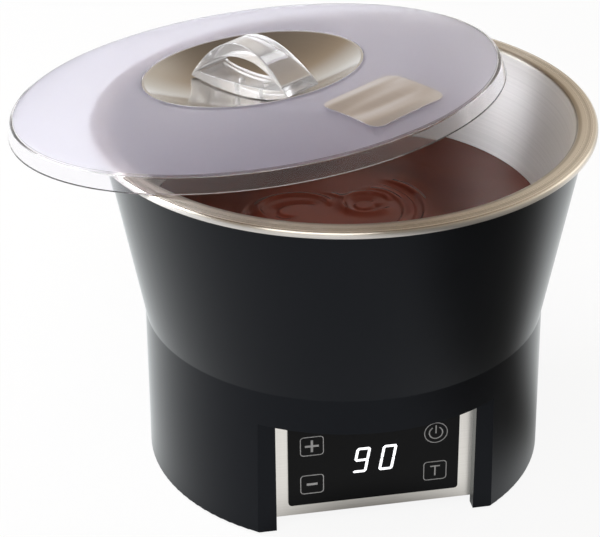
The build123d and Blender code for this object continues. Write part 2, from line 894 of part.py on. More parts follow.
def wire(route, radius, bend):
    """A round wire along a route of straight runs with rounded corners."""
    with BuildPart() as run:
        with BuildLine() as path:
            FilletPolyline(*route, radius=bend)
        with BuildSketch(Plane(origin=path.line @ 0, z_dir=path.line % 0)):
            Circle(radius)
        sweep()
    return run.part


# Mains wires from the inlet's tags: two to the terminal block, one to the earth stud
terminal_top = power_top + terminal_height
tag_end = inlet_inner - tag_length - film_gap
wire_bend = 4 * wire_radius
mains_wires = []
for side in (-1, 1):
    terminal_x = terminal_middle[0] + side * terminal_pitch
    mains_wires.append(
        wire(
            [
                (side * blade_pitch, tag_end, inlet_height),
                (side * blade_pitch, (tag_end + terminal_middle[1]) / 2, inlet_height),
                (terminal_x, terminal_middle[1], inlet_height - terminal_height / 2),
                (terminal_x, terminal_middle[1], terminal_top - terminal_height / 4),
            ],
            wire_radius,
            wire_bend,
        )
    )
with BuildPart() as inlet_wires:
    add(mains_wires)
save(inlet_wires, "inlet_wires")

with BuildPart() as earth_wire:
    add(
        wire(
            [
                (0, tag_end, inlet_height + earth_blade_rise),
                (0, earth_place[1] + 2 * nut_radius, inlet_height + earth_blade_rise),
                (0, earth_place[1] + 2 * nut_radius, earth_nut_top + 2 * wire_radius),
                (0, earth_place[1] + nut_radius, earth_nut_top + 2 * wire_radius),
            ],
            wire_radius,
            wire_radius * 2,
        )
    )
save(earth_wire, "earth_wire")

# Heater leads from the base heater down to the terminal block
lead_bend = 6 * lead_radius
lead_routes = []
for side in (-1, 1):
    lead_x = heater_lead_place[0] + side * heater_lead_spacing / 2
    terminal_x = terminal_middle[0] + side * 2 * terminal_pitch
    lead_routes.append(
        wire(
            [
                (lead_x, heater_lead_place[1], base_heater_top - heater_sheet - film_gap),
                (lead_x, heater_lead_place[1], insulation_bottom - 2 * lead_bend),
                (terminal_x, terminal_middle[1], insulation_bottom - 6 * lead_bend),
                (terminal_x, terminal_middle[1], terminal_top - terminal_height / 4),
            ],
            lead_radius,
            lead_bend,
        )
    )
with BuildPart() as heater_leads:
    add(lead_routes)
save(heater_leads, "heater_leads")

# Probe lead from the capsule down to the power board
with BuildPart() as probe_lead:
    add(
        wire(
            [
                (0, 0, probe_bottom - film_gap),
                (0, 0, (probe_bottom + power_top) / 2),
                (terminal_pitch, power_middle[1], power_top + 4 * lead_bend),
                (terminal_pitch, power_middle[1], power_top + film_gap),
            ],
            lead_radius,
            lead_bend,
        )
    )
save(probe_lead, "probe_lead")

# Ribbon cable between the control board and the power board
ribbon_start_z = power_top + ribbon_width
ribbon_end = front_y - power_inset / 2
ribbon_bend = 6 * ribbon_thickness
with BuildPart() as ribbon_cable:
    with BuildLine() as ribbon_path:
        FilletPolyline(
            (0, -board_back + film_gap, ribbon_start_z),
            (0, (ribbon_end - board_back) / 2, ribbon_start_z),
            (0, ribbon_end, ribbon_start_z + ribbon_width / 2),
            (0, ribbon_end, power_top + film_gap),
            radius=ribbon_bend,
        )
    with BuildSketch(front_plane(board_back - film_gap)):
        with Locations((0, ribbon_start_z)):
            Rectangle(ribbon_width, ribbon_thickness)
    sweep()
save(ribbon_cable, "ribbon_cable")

# Lid's place: its skirt's edge rests on the flange on both sides, and its underside on the rim behind them
rim_edge = rim_radius - lip_bend
skirt_edge = lid_radius - lid_wall
skirt_crossing = (lid_shift**2 + rim_edge**2 - skirt_edge**2) / (2 * lid_shift)
lid_tilt = asin((crown_height - lid_wall) / (rim_edge - skirt_crossing))
lid_rest = rim_height + lid_gap - (lid_shift - skirt_crossing) * tan(lid_tilt)
shift_way = Vector(cos(radians(lid_shift_angle)), sin(radians(lid_shift_angle)), 0)
across_way = Vector(-shift_way.Y, shift_way.X, 0)
down_way = shift_way * cos(lid_tilt) - Vector(0, 0, sin(lid_tilt))
lid_up = shift_way * sin(lid_tilt) + Vector(0, 0, cos(lid_tilt))
lid_turn = radians(handle_angle - lid_shift_angle)
lid_forward = down_way * cos(lid_turn) + across_way * sin(lid_turn)
lid_origin = shift_way * lid_shift + Vector(0, 0, lid_rest)
lid_plane = Plane(origin=lid_origin, x_dir=lid_forward, z_dir=lid_up)
lid_section = Plane(origin=lid_origin, x_dir=lid_forward, z_dir=lid_plane.y_dir * -1)
lid_axis = Axis(lid_origin, lid_up)

# Lid's dome: an arc whose top is at the crown and which ends at the skirt's shoulder
shoulder = lid_radius - skirt_flare
crown_radius = lid_radius * crown_share
dome_drop = crown_height - skirt_height
dome_radius = ((shoulder - crown_radius) ** 2 + dome_drop**2) / (2 * dome_drop)


def dome(r, offset=0.0):
    """Height of the dome's surface, or of one parallel to it, at radius r from the lid's axis."""
    reach = dome_radius + offset
    return crown_height - dome_radius + sqrt(reach**2 - (r - crown_radius) ** 2)


# Lid's dish: part of a sphere that ends inside its flat rim
dish_radius = lid_radius * dish_share
dish_inner = dish_radius - dish_rim_width
dish_low = dish_rim_height - dish_depth
dish_drop = dish_depth - dish_rim_bead / 2
dish_sphere = (dish_inner**2 + dish_drop**2) / (2 * dish_drop)


def dish_surface(r, offset=0.0):
    """Height of the dish's upper surface, or of one below it, at radius r."""
    return dish_low + dish_sphere - sqrt((dish_sphere + offset) ** 2 - r**2)


def dish_reach(height, offset):
    """Radius at which a surface below the dish reaches a height."""
    return sqrt((dish_sphere + offset) ** 2 - (dish_low + dish_sphere - height) ** 2)


def arc(curve, start, end, offset=0.0):
    """An arc along one of the lid's curved surfaces between two radii."""
    middle = (start + end) / 2
    return ThreePointArc(*[(r, curve(r, offset)) for r in (start, middle, end)])


pocket_offset = dish_sheet + dish_gap
pocket_radius = dish_radius + 2 * dish_gap
under_offset = pocket_offset + lid_wall
rim_under = dish_rim_height - dish_sheet
pocket_floor = rim_under - dish_gap
pocket_bend = dish_reach(pocket_floor, pocket_offset)
with BuildPart() as lid_shell:
    with BuildSketch(lid_section):
        with BuildLine():
            Line((lid_radius, 0), (shoulder, skirt_height))
            arc(dome, shoulder, pocket_radius)
            Line((pocket_radius, dome(pocket_radius)), (pocket_radius, pocket_floor))
            Line((pocket_radius, pocket_floor), (pocket_bend, pocket_floor))
            arc(dish_surface, pocket_bend, 0, pocket_offset)
            Line((0, dish_surface(0, pocket_offset)), (0, dish_surface(0, under_offset)))
            arc(dish_surface, 0, dish_radius, under_offset)
            Line(
                (dish_radius, dish_surface(dish_radius, under_offset)),
                (pocket_radius + lid_wall, dome(pocket_radius + lid_wall, -lid_wall)),
            )
            arc(dome, pocket_radius + lid_wall, shoulder - lid_wall, -lid_wall)
            Line((shoulder - lid_wall, dome(shoulder - lid_wall, -lid_wall)), (lid_radius - lid_wall, 0))
            Line((lid_radius - lid_wall, 0), (lid_radius, 0))
        lid_face = make_face()
        fillet(lid_face.vertices().sort_by_distance((shoulder, skirt_height))[0], radius=shoulder_round)
    revolve(axis=lid_axis)
    with BuildSketch(lid_plane):
        with GridLocations(handle_screw_spacing, 1, 2, 1):
            Circle(handle_screw_radius + hole_clearance)
    extrude(amount=dish_rim_height, both=True, mode=Mode.SUBTRACT)
save(lid_shell, "lid_shell")

# Dish: pressed and polished steel, its flat rim in the lid's pocket
dish_bend = dish_reach(rim_under, dish_sheet)
with BuildPart() as lid_dish:
    with BuildSketch(lid_section):
        with BuildLine():
            arc(dish_surface, 0, dish_inner)
            Line((dish_inner, dish_surface(dish_inner)), (dish_inner + dish_rim_bead, dish_rim_height))
            Line((dish_inner + dish_rim_bead, dish_rim_height), (dish_radius, dish_rim_height))
            Line((dish_radius, dish_rim_height), (dish_radius, rim_under))
            Line((dish_radius, rim_under), (dish_bend, rim_under))
            arc(dish_surface, dish_bend, 0, dish_sheet)
            Line((0, dish_surface(0, dish_sheet)), (0, dish_surface(0)))
        dish_face = make_face()
        fillet(dish_face.vertices().sort_by_distance((dish_radius, dish_rim_height))[0], dish_rim_bead / 2)
    revolve(axis=lid_axis)
    with BuildSketch(lid_plane):
        with GridLocations(handle_screw_spacing, 1, 2, 1):
            Circle(handle_screw_radius + hole_clearance)
    extrude(amount=dish_rim_height, both=True, mode=Mode.SUBTRACT)
save(lid_dish, "lid_dish")

# Handle: clear bow over a curved base, one piece with an eye-shaped finger hole
handle_half = handle_length / 2
handle_tip = dish_rim_height - handle_tip_drop
handle_top = dish_rim_height + handle_rise
handle_low = dish_surface(handle_width / 2) + handle_seat_gap
eye_half = handle_half - handle_eye_inset
eye_tip = dish_rim_height - handle_eye_drop
handle_arch = 2 * handle_top - handle_tip
eye_arch = 2 * (handle_top - handle_bow) - eye_tip
handle_foot = handle_width / 2
with BuildPart() as lid_handle:
    with BuildSketch(lid_section) as bow:
        with BuildLine():
            Bezier((-handle_half, handle_tip), (0, handle_arch), (handle_half, handle_tip))
            ThreePointArc((handle_half, handle_tip), (0, handle_low), (-handle_half, handle_tip))
        make_face()
        with BuildLine():
            Bezier((-eye_half, eye_tip), (0, eye_arch), (eye_half, eye_tip))
            ThreePointArc((eye_half, eye_tip), (0, handle_low + handle_base), (-eye_half, eye_tip))
        make_face(mode=Mode.SUBTRACT)
        fillet(bow.vertices(), radius=handle_tip_round)
    extrude(amount=handle_width / 2, both=True)
    with BuildSketch(lid_plane):
        with BuildLine():
            ThreePointArc((-handle_half, -handle_foot), (0, -handle_waist / 2), (handle_half, -handle_foot))
            Line((handle_half, -handle_foot), (handle_half, handle_foot))
            ThreePointArc((handle_half, handle_foot), (0, handle_waist / 2), (-handle_half, handle_foot))
            Line((-handle_half, handle_foot), (-handle_half, -handle_foot))
        make_face()
    extrude(amount=2 * handle_top, mode=Mode.INTERSECT)
    handle_sides = lid_handle.faces().sort_by(Axis(lid_origin, lid_plane.y_dir))
    fillet(handle_sides[0].edges() + handle_sides[-1].edges(), radius=handle_round)
    with BuildSketch(lid_plane):
        with GridLocations(handle_screw_spacing, 1, 2, 1):
            Circle(handle_screw_radius + hole_clearance)
    extrude(amount=handle_low + handle_base * 0.7, mode=Mode.SUBTRACT)
save(lid_handle, "lid_handle")

# Handle's screws and washers, under the lid
screw_reach = handle_screw_spacing / 2 - washer_radius
washer_top = dish_surface(screw_reach, under_offset) - film_gap
with BuildPart() as handle_washers:
    with BuildSketch(lid_plane.offset(washer_top - washer_sheet)):
        with GridLocations(handle_screw_spacing, 1, 2, 1):
            Circle(washer_radius)
            Circle(handle_screw_radius + hole_clearance, mode=Mode.SUBTRACT)
    extrude(amount=washer_sheet)
save(handle_washers, "handle_washers")

handle_screws = screws(
    [(sx * handle_screw_spacing / 2, 0) for sx in (-1, 1)],
    Plane(
        origin=lid_plane.offset(washer_top - washer_sheet).origin,
        x_dir=lid_forward,
        z_dir=lid_up * -1,
    ),
    handle_low + handle_base * 0.6 - washer_top + washer_sheet,
    handle_screw_radius,
    screw_head_radius + handle_screw_radius - screw_radius,
)
save(handle_screws, "handle_screws")

# Label: square of foil on the dome, in line with the handle
label_distance = (dish_radius + shoulder) / 2 + label_outset
label_inner = label_distance - 0.6 * label_depth
label_outer = label_distance + 0.6 * label_depth
label_top = label_gap + label_sheet
with BuildPart() as lid_label:
    with BuildSketch(lid_section):
        with BuildLine():
            arc(dome, label_inner, label_outer, label_gap)
            Line((label_outer, dome(label_outer, label_gap)), (label_outer, dome(label_outer, label_top)))
            arc(dome, label_outer, label_inner, label_top)
            Line((label_inner, dome(label_inner, label_top)), (label_inner, dome(label_inner, label_gap)))
        make_face()
    revolve(axis=lid_axis)
    with BuildSketch(lid_plane):
        with Locations((label_distance, 0)):
            RectangleRounded(label_depth, label_width, label_corner)
    extrude(amount=2 * crown_height, mode=Mode.INTERSECT)
save(lid_label, "lid_label")
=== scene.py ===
import bmesh
import bpy
from math import atan2, cos, degrees, exp, hypot, pi, radians, sin, tan
from mathutils import Matrix, Vector


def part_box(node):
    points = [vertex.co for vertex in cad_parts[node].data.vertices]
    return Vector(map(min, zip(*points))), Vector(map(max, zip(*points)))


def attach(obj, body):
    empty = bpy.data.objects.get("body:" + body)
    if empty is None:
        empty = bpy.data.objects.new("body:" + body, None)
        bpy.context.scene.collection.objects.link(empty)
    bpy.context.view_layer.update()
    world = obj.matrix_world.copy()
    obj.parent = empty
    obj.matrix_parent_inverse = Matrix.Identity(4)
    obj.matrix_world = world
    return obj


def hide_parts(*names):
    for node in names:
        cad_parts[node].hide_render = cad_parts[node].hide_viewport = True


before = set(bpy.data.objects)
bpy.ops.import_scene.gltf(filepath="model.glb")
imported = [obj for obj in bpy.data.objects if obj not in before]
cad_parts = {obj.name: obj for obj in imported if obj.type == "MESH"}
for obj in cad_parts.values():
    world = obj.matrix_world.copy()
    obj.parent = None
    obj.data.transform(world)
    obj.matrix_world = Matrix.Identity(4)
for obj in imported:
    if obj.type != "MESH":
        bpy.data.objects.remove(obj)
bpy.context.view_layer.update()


# Base plate: zinc-plated sheet steel with rows of pressed vents, screwed up against bosses inside
# the casing. The plating shows a faint crystal bloom.
class Signal:
    """A shader socket that can stand in a sum: each operator adds the Math node it needs."""

    def __init__(self, tree, socket=None):
        self.tree = tree
        self.socket = socket

    def add(self, kind, settings, sockets, output=0):
        node = self.tree.nodes.new(kind)
        for name, value in settings.items():
            if name == "stops":
                stops = node.color_ramp.elements
                stops.remove(stops[1])
                stops[0].position, stops[0].color = value[0]
                for position, colour in value[1:]:
                    stops.new(position).color = colour
            else:
                setattr(node, name, value)
        for name, value in sockets.items():
            if isinstance(value, Signal):
                self.tree.links.new(value.socket, node.inputs[name])
            else:
                node.inputs[name].default_value = value
        return Signal(self.tree, node.outputs[output]) if node.outputs else None

    def maths(self, operation, first, second):
        return self.add("ShaderNodeMath", {"operation": operation}, {0: first, 1: second})

    def __add__(self, other):
        return self.maths("ADD", self, other)

    def __sub__(self, other):
        return self.maths("SUBTRACT", self, other)

    def __rsub__(self, other):
        return self.maths("SUBTRACT", other, self)

    def __mul__(self, other):
        return self.maths("MULTIPLY", self, other)

    def __pow__(self, other):
        return self.maths("POWER", self, other)

    __radd__ = __add__
    __rmul__ = __mul__

    def axis(self, name):
        return self.add("ShaderNodeSeparateXYZ", {}, {"Vector": self}, name)

    def step(self, low, high):
        return self.add("ShaderNodeMapRange", {"interpolation_type": "SMOOTHSTEP"},
                        {"Value": self, "From Min": low, "From Max": high})

    def tint(self, low, high):
        return self.add("ShaderNodeMix", {"data_type": "RGBA"}, {0: self, 6: low, 7: high}, 2)

    def stretch(self, scale):
        return self.add("ShaderNodeMapping", {}, {"Vector": self, "Scale": scale})

    def speckle(self, scale, detail=2.0):
        return self.add("ShaderNodeTexNoise", {},
                        {"Vector": self, "Scale": scale, "Detail": detail})

    def bump(self, strength, distance):
        return self.add("ShaderNodeBump", {},
                        {"Height": self, "Strength": strength, "Distance": distance})

    def shade(self, sockets):
        return self.add("ShaderNodeBsdfPrincipled", {}, sockets)


def finish(slot, recipe):
    material = bpy.data.materials.get(slot) or bpy.data.materials.new(slot)
    material.use_nodes = True
    material.node_tree.nodes.clear()
    place = Signal(material.node_tree).add("ShaderNodeTexCoord", {}, {}, "Object")
    place.add("ShaderNodeOutputMaterial", {}, {"Surface": recipe(place)})
    return material


def zinc_plating(place):
    bloom = place.add("ShaderNodeTexVoronoi", {}, {"Vector": place, "Scale": 140.0}, "Distance")
    haze = place.speckle(30.0)
    crystals = 0.6 * bloom + 0.5 * haze
    return place.shade({
        "Base Color": crystals.tint((0.46, 0.47, 0.48, 1), (0.66, 0.66, 0.63, 1)),
        "Metallic": 1.0,
        "Roughness": 0.3 + 0.16 * haze,
    })


finish("plated_steel", zinc_plating)


# Feet: four turned plugs of dark rubber whose barbed stems are pushed through the base plate. Their
# soles are scuffed and dusty.
mm = 0.001
sole_low, sole_high = 0.2 * mm, 1.4 * mm


def scuffed_rubber(place):
    dust = place.speckle(140.0, 5.0)
    sole = 1 - place.axis("Z").step(sole_low, sole_high)
    worn = 0.5 * dust + 0.35 * sole
    return place.shade({
        "Base Color": worn.tint((0.012, 0.012, 0.013, 1), (0.06, 0.057, 0.053, 1)),
        "Roughness": 0.72 + 0.2 * dust,
        "Normal": place.speckle(2200.0).bump(0.25, 0.1 * mm),
    })


finish("foot_rubber", scuffed_rubber)


# Screws, nuts, washers and the earth stud: bright steel, rolled and turned, with fine tool marks.
# They hold the base plate, boards, panel, inlet and lid handle.
def bright_fastener(place):
    marks = place.speckle(900.0, 4.0)
    return place.shade({
        "Base Color": marks.tint((0.42, 0.41, 0.39, 1), (0.68, 0.67, 0.64, 1)),
        "Metallic": 1.0,
        "Roughness": 0.2 + 0.22 * marks,
    })


finish("screw_steel", bright_fastener)


# Boards: glass-fibre laminate under green solder resist, with paler tracks and tinned pads. The
# power board stands on brass pillars over the base plate, the control board hangs behind the panel.
def green_laminate(place):
    tracks = place.add("ShaderNodeTexVoronoi", {"distance": "MANHATTAN"},
                       {"Vector": place, "Scale": 130.0}, "Distance")
    pads = 1 - tracks.step(0.1, 0.14)
    weave = place.speckle(700.0)
    resist = tracks.step(0.5, 0.56).tint((0.006, 0.075, 0.025, 1), (0.012, 0.14, 0.045, 1))
    return place.shade({
        "Base Color": pads.tint(resist, (0.6, 0.6, 0.58, 1)),
        "Metallic": 0.9 * pads,
        "Roughness": 0.3 + 0.2 * weave,
    })


def turned_brass(place):
    marks = place.stretch((200.0, 200.0, 2600.0)).speckle(1.0)
    return place.shade({
        "Base Color": marks.tint((0.55, 0.39, 0.15, 1), (0.75, 0.57, 0.26, 1)),
        "Metallic": 1.0,
        "Roughness": 0.22 + 0.16 * marks,
    })


finish("board_green", green_laminate)
finish("standoff_brass", turned_brass)


# Parts on the power board: a taped transformer, a blue relay, a finned aluminium sink, black
# encapsulated parts and a row of green screw terminals, all soldered through the board.
def wound_tape(place):
    turns = place.add("ShaderNodeTexWave", {"bands_direction": "Z"},
                      {"Vector": place, "Scale": 110.0, "Distortion": 1.5})
    return place.shade({
        "Base Color": turns.tint((0.55, 0.36, 0.03, 1), (0.8, 0.6, 0.1, 1)),
        "Roughness": 0.34 + 0.14 * turns,
    })


def moulded_part(dark, pale, roughness):
    def recipe(place):
        cloud = place.speckle(160.0, 4.0)
        return place.shade({
            "Base Color": cloud.tint(dark, pale),
            "Roughness": roughness + 0.14 * cloud,
            "Normal": place.speckle(1800.0).bump(0.12, 0.08 * mm),
        })
    return recipe


def extruded_aluminium(place):
    lines = place.stretch((900.0, 900.0, 40.0)).speckle(1.0, 3.0)
    return place.shade({
        "Base Color": lines.tint((0.56, 0.57, 0.58, 1), (0.74, 0.74, 0.74, 1)),
        "Metallic": 1.0,
        "Roughness": 0.3 + 0.2 * lines,
    })


finish("transformer_yellow", wound_tape)
finish("relay_blue", moulded_part((0.01, 0.07, 0.26, 1), (0.02, 0.11, 0.36, 1), 0.3))
finish("part_black", moulded_part((0.01, 0.01, 0.011, 1), (0.024, 0.024, 0.025, 1), 0.4))
finish("terminal_green", moulded_part((0.02, 0.2, 0.07, 1), (0.04, 0.29, 0.1, 1), 0.38))
finish("sink_aluminium", extruded_aluminium)


# Power inlet: a black moulded socket with three brass blades, set in a flat pocket at the back of
# the casing and held by two screws.
finish("inlet_black", moulded_part((0.008, 0.008, 0.009, 1), (0.018, 0.018, 0.019, 1), 0.44))
finish("blade_brass", turned_brass)


# Wiring: soft insulated wires from the inlet to the boards and heaters, the earth wire in green and
# yellow, and a flat grey ribbon of fine cores between the two boards.
def ribbon_cores(place):
    cores = place.add("ShaderNodeTexWave", {"bands_direction": "X"},
                      {"Vector": place, "Scale": 250.0})
    return place.shade({
        "Base Color": cores.tint((0.25, 0.25, 0.26, 1), (0.46, 0.46, 0.47, 1)),
        "Roughness": 0.5 + 0.1 * cores,
    })


finish("wire_brown", moulded_part((0.09, 0.032, 0.012, 1), (0.15, 0.06, 0.025, 1), 0.42))
finish("wire_green", moulded_part((0.03, 0.22, 0.03, 1), (0.5, 0.45, 0.03, 1), 0.42))
finish("wire_white", moulded_part((0.62, 0.61, 0.58, 1), (0.76, 0.75, 0.72, 1), 0.42))
finish("ribbon_grey", ribbon_cores)


# Casing: one black plastic moulding, flared above a crease, with a flat front and a window for the
# panel. A fine even mould texture keeps it satin, so it only glows where it turns away.
glance_falloff = 5.0


def satin_moulding(place):
    smudge = place.speckle(14.0, 3.0)
    texture = place.speckle(2600.0, 1.0)
    plastic = place.shade({
        "Base Color": smudge.tint((0.0036, 0.0041, 0.0056, 1), (0.0054, 0.006, 0.0078, 1)),
        "Roughness": 0.34 + 0.08 * smudge,
        "Specular IOR Level": 0.12,
        "Specular Tint": (0.78, 0.86, 1.0, 1),
        "Normal": texture.bump(0.05, 0.05 * mm),
    })
    sheen = place.shade({
        "Base Color": smudge.tint((0.66, 0.7, 0.71, 1), (0.72, 0.76, 0.77, 1)),
        "Metallic": 1.0,
        "Roughness": 0.34 + 0.06 * smudge,
    })
    facing = place.add("ShaderNodeLayerWeight", {}, {"Blend": 0.5}, "Facing")
    return place.add("ShaderNodeMixShader", {},
                     {"Fac": facing ** glance_falloff, 1: plastic, 2: sheen})


finish("casing_black", satin_moulding)


# Heated well: a spun aluminium liner on the casing's top edge, with silicone heater mats stuck to
# its outside, felt insulation round them, a silicone seal on its seat and a probe in a plug through
# its floor.
def from_axis(place):
    return (place.axis("X") ** 2.0 + place.axis("Y") ** 2.0) ** 0.5


def spun_profile(place):
    return place.add("ShaderNodeCombineXYZ", {}, {"X": from_axis(place), "Y": place.axis("Z")})


def spun_aluminium(place):
    rings = spun_profile(place).speckle(900.0, 3.0)
    return place.shade({
        "Base Color": rings.tint((0.58, 0.58, 0.59, 1), (0.74, 0.74, 0.75, 1)),
        "Metallic": 1.0,
        "Roughness": 0.26 + 0.18 * rings,
        "Anisotropic": 0.5,
        "Anisotropic Rotation": 0.25,
    })


def heater_mat(place):
    wire = place.add("ShaderNodeTexWave", {"bands_direction": "Z"},
                     {"Vector": place, "Scale": 55.0, "Distortion": 0.6})
    return place.shade({
        "Base Color": wire.tint((0.3, 0.07, 0.02, 1), (0.46, 0.13, 0.045, 1)),
        "Roughness": 0.55 + 0.12 * wire,
        "Normal": wire.bump(0.4, 0.3 * mm),
    })


def needled_felt(place):
    fibre = place.stretch((900.0, 900.0, 300.0)).speckle(1.0, 6.0)
    return place.shade({
        "Base Color": fibre.tint((0.5, 0.46, 0.36, 1), (0.78, 0.74, 0.62, 1)),
        "Roughness": 0.86 + 0.1 * fibre,
        "Normal": fibre.bump(0.7, 0.5 * mm),
    })


finish("well_aluminium", spun_aluminium)
finish("heater_silicone", heater_mat)
finish("insulation_felt", needled_felt)
finish("seal_silicone", moulded_part((0.7, 0.7, 0.68, 1), (0.8, 0.8, 0.77, 1), 0.5))


# Panel: a brushed stainless plate screwed in behind the window, with the black gloss touch overlay
# stuck on its face. Foam pads behind the overlay carry the keys' fields.
def brushed_panel(place):
    brush = place.stretch((25.0, 1500.0, 1500.0)).speckle(1.0, 3.0)
    return place.shade({
        "Base Color": brush.tint((0.72, 0.695, 0.65, 1), (0.86, 0.838, 0.795, 1)),
        "Metallic": 1.0,
        "Roughness": 0.28 + 0.12 * brush,
        "Anisotropic": 0.5,
        "Anisotropic Rotation": 0.25,
    })


def gloss_overlay(place):
    smear = place.speckle(24.0, 3.0)
    return place.shade({
        "Base Color": smear.tint((0.0035, 0.0037, 0.0042, 1), (0.005, 0.0052, 0.0058, 1)),
        "Roughness": 0.1 + 0.1 * smear,
        "IOR": 1.18,
    })


finish("panel_steel", brushed_panel)
finish("overlay_black", gloss_overlay)
finish("key_foam", moulded_part((0.02, 0.02, 0.021, 1), (0.045, 0.045, 0.046, 1), 0.7))


# Key legends: pale grey ink printed on the overlay, three rounded squares and a circle with a plus,
# a minus, a T and the on-off sign in them.
overlay_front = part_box("touch_overlay")[0].y
overlay_face = Matrix.Translation((0, overlay_front, 0)) @ Matrix.Rotation(pi / 2, 4, "X")
key_across, key_high, key_low = 40.2 * mm, 59.1 * mm, 29.9 * mm
key_width, key_height, key_corner = 15.3 * mm, 14.4 * mm, 2.4 * mm
key_circle, circle_segments, corner_segments = 7.7 * mm, 72, 8
power_circle, power_line, power_gap = 4.7 * mm, 0.75 * mm, 32.0
power_stem, power_stem_rise = 6.2 * mm, 2.6 * mm
plus_span, plus_line, plus_arm, plus_arm_rise = 9.0 * mm, 1.5 * mm, 3.7 * mm, 2.6 * mm
minus_span, minus_line = 7.0 * mm, 1.7 * mm
letter_span, letter_stem, letter_line = 6.4 * mm, 6.8 * mm, 0.9 * mm
letter_span_rise, letter_stem_drop = 3.4 * mm, 0.45 * mm
ink_line, ink_film = 0.55 * mm, 0.06 * mm


def bar(mesh, x, y, width, height):
    place = Matrix.Translation((x, y, 0)) @ Matrix.Diagonal((width, height, 1, 1))
    bmesh.ops.create_grid(mesh, x_segments=1, y_segments=1, size=0.5, matrix=place)


def hollow(mesh, face, line):
    ring = bmesh.ops.inset_region(mesh, faces=[face], thickness=line, use_boundary=True,
                                  use_even_offset=True)["faces"]
    bmesh.ops.delete(mesh, geom=[face], context="FACES")
    return ring


def key_square(mesh, x, y):
    known = set(mesh.faces)
    bar(mesh, x, y, key_width, key_height)
    corners = [v for f in mesh.faces if f not in known for v in f.verts]
    bmesh.ops.bevel(mesh, geom=corners, offset=key_corner, offset_type="OFFSET",
                    affect="VERTICES", segments=corner_segments, profile=0.5, material=-1)
    hollow(mesh, next(f for f in mesh.faces if f not in known), ink_line)


def key_ring(mesh, x, y, radius, line, gap=0.0):
    known = set(mesh.faces)
    bmesh.ops.create_circle(mesh, cap_ends=True, radius=radius, segments=circle_segments,
                            matrix=Matrix.Translation((x, y, 0)))
    ring = hollow(mesh, next(f for f in mesh.faces if f not in known), line)
    open_faces = []
    for face in ring:
        middle = face.calc_center_median() - Vector((x, y, 0))
        if abs(degrees(atan2(middle.x, middle.y))) < gap:
            open_faces.append(face)
    bmesh.ops.delete(mesh, geom=open_faces, context="FACES")


def lay_film(mesh, thickness):
    bmesh.ops.solidify(mesh, geom=mesh.faces[:], thickness=thickness)
    bmesh.ops.recalc_face_normals(mesh, faces=mesh.faces[:])
    bmesh.ops.transform(mesh, matrix=overlay_face @ Matrix.Translation((0, 0, thickness)),
                        verts=mesh.verts[:])


def made(name, mesh, material):
    shape = bpy.data.meshes.new(name)
    mesh.to_mesh(shape)
    mesh.free()
    shape.materials.append(material)
    thing = bpy.data.objects.new(name, shape)
    bpy.context.scene.collection.objects.link(thing)
    return thing


def printed_ink(place):
    cover = place.speckle(600.0, 3.0)
    return place.shade({
        "Base Color": cover.tint((0.36, 0.37, 0.38, 1), (0.5, 0.5, 0.51, 1)),
        "Roughness": 0.4 + 0.2 * cover,
    })


legends = bmesh.new()
key_square(legends, -key_across, key_high)
key_square(legends, -key_across, key_low)
key_square(legends, key_across, key_low)
key_ring(legends, key_across, key_high, key_circle, ink_line)
key_ring(legends, key_across, key_high, power_circle, power_line, power_gap)
bar(legends, key_across, key_high + power_stem_rise, power_line, power_stem)
bar(legends, -key_across, key_high, plus_span, plus_line)
for side in (-1, 1):
    bar(legends, -key_across, key_high + side * plus_arm_rise, plus_line, plus_arm)
bar(legends, -key_across, key_low, minus_span, minus_line)
bar(legends, key_across, key_low + letter_span_rise, letter_span, letter_line)
bar(legends, key_across, key_low - letter_stem_drop, letter_line, letter_stem)
lay_film(legends, ink_film)
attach(made("key_legends", legends, finish("printed_ink", printed_ink)), "casing")


# Lit digits: two slanting seven-segment numerals of white light, from the display module behind the
# panel, that shine through the overlay. The segments' ends are bevelled to leave fine dark gaps.
digit_width, digit_height, digit_stroke = 9.4 * mm, 18.9 * mm, 1.75 * mm
digit_slant, digit_gap, digit_bevel = 0.17, 1.2 * mm, 0.46
digit_foot, tens_left, units_left = 34.9 * mm, -14.4 * mm, 2.7 * mm
light_film = 0.05 * mm
upright, across = (digit_height - digit_stroke) / 2, digit_width - digit_stroke
segment_places = {
    "top": (0, upright, False),
    "middle": (0, 0, False),
    "bottom": (0, -upright, False),
    "high_left": (-across / 2, upright / 2, True),
    "high_right": (across / 2, upright / 2, True),
    "low_left": (-across / 2, -upright / 2, True),
    "low_right": (across / 2, -upright / 2, True),
}


def numeral(mesh, left, lit):
    lean = Matrix.Identity(4)
    lean[0][1] = digit_slant
    middle = left + digit_width / 2 + digit_slant * digit_height / 2
    shift = Matrix.Translation((middle, digit_foot + digit_height / 2, 0))
    for name in lit:
        known = set(mesh.verts)
        dx, dy, stands = segment_places[name]
        length = (upright if stands else across) - digit_gap
        bar(mesh, 0, 0, length + digit_stroke, digit_stroke)
        ends = [v for v in mesh.verts if v not in known]
        bmesh.ops.bevel(mesh, geom=ends, offset=digit_bevel * digit_stroke, offset_type="OFFSET",
                        affect="VERTICES", segments=1, profile=0.5, material=-1)
        fresh = [v for v in mesh.verts if v not in known]
        turn = Matrix.Rotation(pi / 2 if stands else 0.0, 4, "Z")
        place = Matrix.Translation((dx, dy, 0)) @ turn
        bmesh.ops.transform(mesh, matrix=shift @ lean @ place, verts=fresh)


def white_light(place):
    glow = place.speckle(300.0)
    return place.shade({
        "Base Color": (0.8, 0.8, 0.82, 1),
        "Roughness": 0.4,
        "Emission Color": glow.tint((0.92, 0.94, 1.0, 1), (1.0, 1.0, 1.0, 1)),
        "Emission Strength": 1.2,
    })


